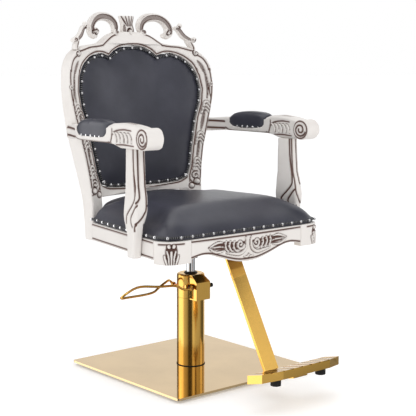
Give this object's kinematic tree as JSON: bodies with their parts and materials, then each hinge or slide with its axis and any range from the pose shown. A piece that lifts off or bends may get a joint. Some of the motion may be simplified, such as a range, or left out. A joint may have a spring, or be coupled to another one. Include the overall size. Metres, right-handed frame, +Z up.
{
  "type": "styling chair",
  "caption": "Carved salon styling chair: shield back, scrolled arms with pads, studded leather, hydraulic pump with foot lever, square metal base and hanging footrest.",
  "frame": {"origin": "middle of the overall box in X and Y, at the floor under the rubber feet; the pump column's axis stands 90.2 mm behind it", "axes": "+Z up, the sitter faces -Y, +X to the sitter's left hand"},
  "size_m": [0.7626, 0.9666, 1.2536],
  "materials": {
    "gold": "polished champagne-gold plating over steel",
    "gold_plate": "mirror champagne-gold plating over steel, fine brushing",
    "chrome": "mirror chrome",
    "steel": "zinc plated",
    "black_steel": "satin black enamel",
    "copper": "polished copper-brass",
    "rubber": "matt moulded rubber",
    "carved_wood": "ivory lacquer with a brown glaze rubbed into the carving",
    "board": "raw plywood",
    "leather": "slate grey upholstery leather, soft sheen",
    "nails": "dark gimp band set with polished silver dome nails"
  },
  "bodies": {
    "base": {"base_plate": "gold_plate", "base_foot_1": "rubber", "base_foot_2": "rubber", "base_foot_3": "rubber", "base_foot_4": "rubber", "base_bolt_1": "steel", "base_bolt_2": "steel", "base_bolt_3": "steel", "base_bolt_4": "steel", "pump_cylinder": "gold"},
    "pump": {"inner_cylinder": "steel", "pump_head": "gold", "rod_gland": "black_steel", "pump_housing": "gold", "valve_stem": "copper", "valve_cap": "rubber"},
    "lever": {"pump_lever": "gold", "pivot_pin": "copper", "lever_rocker": "black_steel"},
    "plunger": {"pump_plunger": "black_steel"},
    "seat": {"piston_head": "steel", "piston_rod": "chrome", "seat_socket": "black_steel", "seat_mount_plate": "black_steel", "mount_bolt_1": "steel", "mount_bolt_2": "steel", "mount_bolt_3": "steel", "mount_bolt_4": "steel", "front_rail": "carved_wood", "side_rail_right": "carved_wood", "side_rail_left": "carved_wood", "front_corner_right": "carved_wood", "front_corner_left": "carved_wood", "rear_rail": "carved_wood", "seat_board": "board", "seat_cushion": "leather", "seat_nail_trim": "nails", "back_stile_right": "carved_wood", "back_stile_left": "carved_wood", "back_crest_rail": "carved_wood", "back_lower_rail": "carved_wood", "crest_shell": "carved_wood", "crest_scroll_right": "carved_wood", "crest_scroll_left": "carved_wood", "crest_ear_right": "carved_wood", "crest_ear_left": "carved_wood", "back_cushion": "leather", "back_nail_trim": "nails", "back_outer_panel": "leather", "arm_rail_right": "carved_wood", "arm_post_right": "carved_wood", "arm_pad_right": "leather", "arm_rail_left": "carved_wood", "arm_post_left": "carved_wood", "arm_pad_left": "leather", "footrest_bar": "gold", "footplate": "gold", "footplate_bumper_right": "rubber", "footplate_bumper_left": "rubber"}
  },
  "joints": [
    {"name": "seat_swivel", "type": "hinge", "parent": "base", "child": "pump", "pos_m": [0, 0.0902, 0.261], "axis": [0, 0, 1], "continuous": true},
    {"name": "seat_lift", "type": "slide", "parent": "pump", "child": "seat", "axis": [0, 0, 1], "range_m": [0, 0.15]},
    {"name": "lever_pump", "type": "hinge", "parent": "pump", "child": "lever", "pos_m": [-0.043, 0.0902, 0.302], "axis": [0, 1, 0], "range_deg": [-22, 0], "stiffness_Nm_per_rad": 3, "springref_deg": 28.65},
    {"name": "plunger_stroke", "type": "slide", "parent": "pump", "child": "plunger", "axis": [0, 0, 1], "range_m": [0, 0.0075]}
  ],
  "couplings": [
    {"joint": "plunger_stroke", "follows": "lever_pump", "m_per_rad": -0.018}
  ]
}
